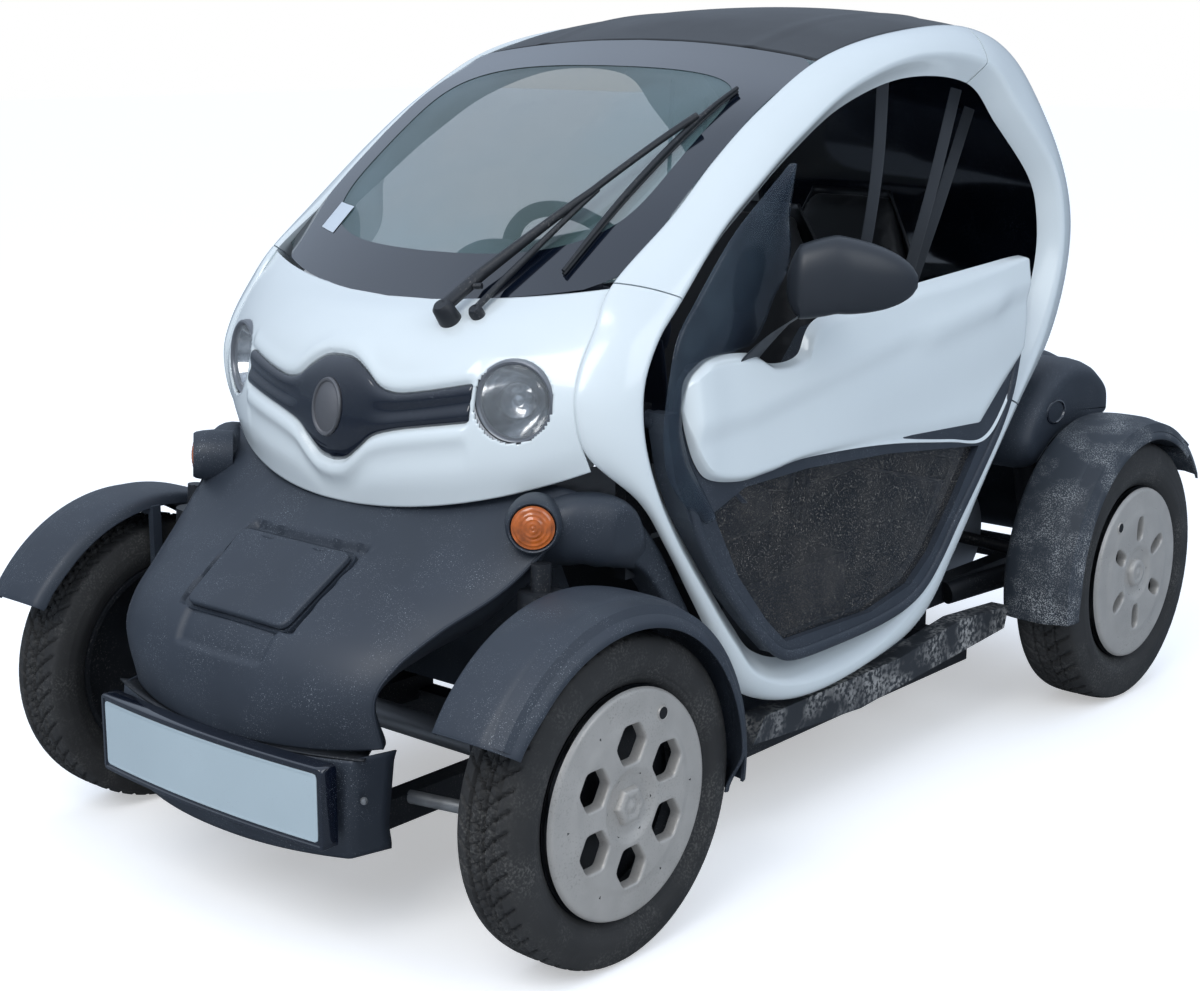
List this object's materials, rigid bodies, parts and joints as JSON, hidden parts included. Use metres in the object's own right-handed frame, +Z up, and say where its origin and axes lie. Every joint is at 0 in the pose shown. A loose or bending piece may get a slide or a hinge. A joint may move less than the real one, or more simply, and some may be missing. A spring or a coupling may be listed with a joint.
{
  "type": "electric quadricycle",
  "caption": "Narrow tandem electric quadricycle with a white hooped shell, open sides, lift-up doors, round lamps, outboard wheels and dark plastic mudguards.",
  "frame": {"origin": "centre of the bounding box at floor level", "axes": "+X to the vehicle left, +Y to its rear, +Z up"},
  "size_m": [1.3774, 2.338, 1.4459],
  "materials": {
    "white_paint": "gloss pale white paint",
    "dark_plastic": "grained dark blue-grey plastic",
    "gloss_black": "gloss black",
    "plate_blank": "blank pale grey-blue plate",
    "clear_glass": "clear laminated glass",
    "dark_glazing": "dark tinted plastic",
    "lamp_lens": "clear lamp lens",
    "lamp_bowl": "bright reflector",
    "amber": "amber lens",
    "red_lens": "red lens",
    "tyre": "tread rubber",
    "wheel_silver": "silver-beige wheel and cover",
    "steel_black": "black coated steel",
    "cast_steel": "bare cast metal",
    "aluminium": "cast aluminium",
    "seat_shell": "black seat trim",
    "roof_black": "satin black roof"
  },
  "bodies": {
    "body": {"battery_pack": "steel_black", "bumper": "dark_plastic", "chassis_frame": "steel_black", "dashboard": "dark_plastic", "door_hinges": "steel_black", "drive_shafts": "steel_black", "driver_seat": "seat_shell", "floor_pan": "dark_plastic", "front_arms": "steel_black", "front_body": "dark_plastic", "front_indicators": "amber", "front_struts": "steel_black", "grille_band": "gloss_black", "headlamp_lenses": "lamp_lens", "headlamps": "lamp_bowl", "hoop_lower": "white_paint", "hoop_rear": "white_paint", "hoop_roof": "white_paint", "motor_unit": "aluminium", "nose_panel": "white_paint", "number_plate": "plate_blank", "passenger_seat": "seat_shell", "rack_housing": "aluminium", "rear_arms": "steel_black", "rear_body": "dark_plastic", "rear_mudguards": "dark_plastic", "rear_panel": "gloss_black", "rear_struts": "steel_black", "roof_panel": "roof_black", "sill_skirts": "dark_plastic", "steering_column": "steel_black", "tail_lamps": "red_lens", "windscreen": "clear_glass", "wiper": "steel_black"},
    "charge_flap": {"charge_flap": "dark_plastic"},
    "steering_wheel": {"steering_wheel": "seat_shell"},
    "steering_rack": {"steering_rack": "cast_steel"},
    "door_left": {"door_frame_left": "dark_plastic", "door_skin_left": "white_paint", "door_glazing_left": "dark_glazing", "mirror_left": "dark_plastic"},
    "knuckle_left": {"knuckle_left": "cast_steel", "mudguard_front_left": "dark_plastic"},
    "wheel_front_left": {"tyre_front_left": "tyre", "wheel_front_left": "wheel_silver"},
    "wheel_rear_left": {"tyre_rear_left": "tyre", "wheel_rear_left": "wheel_silver"},
    "door_right": {"door_frame_right": "dark_plastic", "door_skin_right": "white_paint", "door_glazing_right": "dark_glazing", "mirror_right": "dark_plastic"},
    "knuckle_right": {"knuckle_right": "cast_steel", "mudguard_front_right": "dark_plastic"},
    "wheel_front_right": {"tyre_front_right": "tyre", "wheel_front_right": "wheel_silver"},
    "wheel_rear_right": {"tyre_rear_right": "tyre", "wheel_rear_right": "wheel_silver"}
  },
  "joints": [
    {"name": "steering_turn", "type": "hinge", "parent": "body", "child": "steering_wheel", "pos_m": [0, -0.236, 0.935], "axis": [0, 0.8829, 0.4695], "range_deg": [-476, 476]},
    {"name": "rack_slide", "type": "slide", "parent": "body", "child": "steering_rack", "axis": [1, 0, 0], "range_m": [-0.063, 0.063]},
    {"name": "knuckle_left_steer", "type": "hinge", "parent": "body", "child": "knuckle_left", "pos_m": [0.47, -0.836, 0.265], "axis": [0, 0, 1], "range_deg": [-34.5, 34.5]},
    {"name": "knuckle_right_steer", "type": "hinge", "parent": "body", "child": "knuckle_right", "pos_m": [-0.47, -0.836, 0.265], "axis": [0, 0, 1], "range_deg": [-34.5, 34.5]},
    {"name": "wheel_front_left_spin", "type": "hinge", "parent": "knuckle_left", "child": "wheel_front_left", "pos_m": [0.547, -0.836, 0.263], "axis": [1, 0, 0], "continuous": true},
    {"name": "wheel_rear_left_spin", "type": "hinge", "parent": "body", "child": "wheel_rear_left", "pos_m": [0.54, 0.85, 0.279], "axis": [1, 0, 0], "continuous": true},
    {"name": "door_left_lift", "type": "hinge", "parent": "body", "child": "door_left", "pos_m": [0.4588, -0.601, 0.8], "axis": [0.9848, 0, -0.1736], "range_deg": [0, 80]},
    {"name": "wheel_front_right_spin", "type": "hinge", "parent": "knuckle_right", "child": "wheel_front_right", "pos_m": [-0.547, -0.836, 0.263], "axis": [1, 0, 0], "continuous": true},
    {"name": "wheel_rear_right_spin", "type": "hinge", "parent": "body", "child": "wheel_rear_right", "pos_m": [-0.54, 0.85, 0.279], "axis": [1, 0, 0], "continuous": true},
    {"name": "door_right_lift", "type": "hinge", "parent": "body", "child": "door_right", "pos_m": [-0.4588, -0.601, 0.8], "axis": [0.9848, 0, 0.1736], "range_deg": [0, 80]},
    {"name": "charge_flap_open", "type": "hinge", "parent": "body", "child": "charge_flap", "pos_m": [0, -0.94486, 0.59681], "axis": [-1, 0, 0], "range_deg": [0, 95]}
  ],
  "couplings": [
    {"joint": "rack_slide", "follows": "steering_turn", "m_per_rad": -0.0074041},
    {"joint": "knuckle_left_steer", "follows": "steering_turn", "ratio": 0.071429},
    {"joint": "knuckle_right_steer", "follows": "steering_turn", "ratio": 0.071429}
  ]
}
